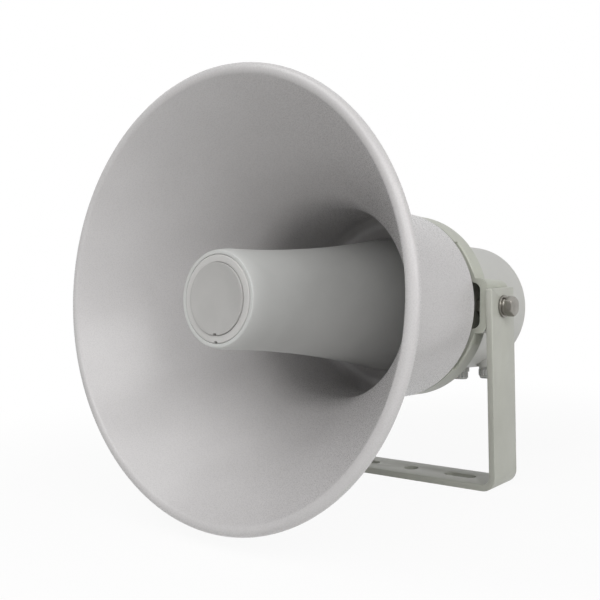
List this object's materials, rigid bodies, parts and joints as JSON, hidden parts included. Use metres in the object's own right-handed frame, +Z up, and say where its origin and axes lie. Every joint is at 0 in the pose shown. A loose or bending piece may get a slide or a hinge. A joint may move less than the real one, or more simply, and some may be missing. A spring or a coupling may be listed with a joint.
{
  "type": "outdoor ip speaker",
  "caption": "Re-entrant horn speaker with a closed nose, a rear cup for its electronics and a U-bracket it tilts in.",
  "frame": {"origin": "centre of the hole in the bracket's base, on its underside", "axes": "+Z up out of the base, -Y the way the horn faces, +X along the pivot bolts"},
  "size_m": [0.284, 0.3349, 0.2922],
  "materials": {
    "bracket_paint": "satin greenish grey powder coat on steel bar",
    "ring_paint": "satin greenish grey powder coat on a casting",
    "horn_paint": "light grey powder coat on spun sheet",
    "horn_plastic": "light grey moulded plastic",
    "cover_plastic": "light grey moulded plastic",
    "gland_plastic": "light grey moulded nylon",
    "dark_plastic": "black moulded plastic",
    "black_rubber": "black rubber",
    "stainless": "stainless steel",
    "plated_steel": "zinc plated steel",
    "cast_aluminium": "bare die casting",
    "black_anodised": "black anodised extrusion",
    "ferrite": "dark sintered ferrite",
    "dome_film": "amber polyimide film",
    "coil_wire": "enamelled winding",
    "membrane": "white breathing membrane",
    "board_laminate": "green circuit board",
    "jack_shell": "tinned sheet",
    "capacitor_can": "sleeved can"
  },
  "bodies": {
    "bracket": {"u_bracket": "bracket_paint"},
    "horn": {"horn_bell": "horn_paint", "horn_reflector": "horn_plastic", "nose_ring": "horn_plastic", "nose_cap": "horn_plastic", "reflector_screws": "stainless", "throat_tube": "dark_plastic", "horn_gasket": "black_rubber", "mount_ring": "ring_paint", "ring_screws": "stainless", "driver_housing": "cast_aluminium", "phase_plug": "dark_plastic", "diaphragm": "dome_film", "voice_coil": "coil_wire", "top_plate": "plated_steel", "magnet": "ferrite", "yoke": "plated_steel", "driver_screws": "stainless", "cover_gasket": "black_rubber", "rear_cover": "cover_plastic", "cover_screws": "stainless", "gland_bodies": "gland_plastic", "gland_nuts": "gland_plastic", "gland_seals": "black_rubber", "gland_locknuts": "gland_plastic", "vent_plug": "gland_plastic", "vent_membrane": "membrane", "circuit_board": "board_laminate", "board_screws": "stainless", "network_jack": "jack_shell", "board_capacitors": "capacitor_can", "power_module": "dark_plastic", "heat_sink": "black_anodised", "pivot_bolts": "stainless", "flat_washers": "stainless", "spring_washers": "stainless", "pivot_nuts": "stainless"}
  },
  "joints": [
    {"name": "tilt", "type": "hinge", "parent": "bracket", "child": "horn", "pos_m": [0, 0, 0.1356], "axis": [-1, 0, 0], "range_deg": [-48, 220]}
  ]
}
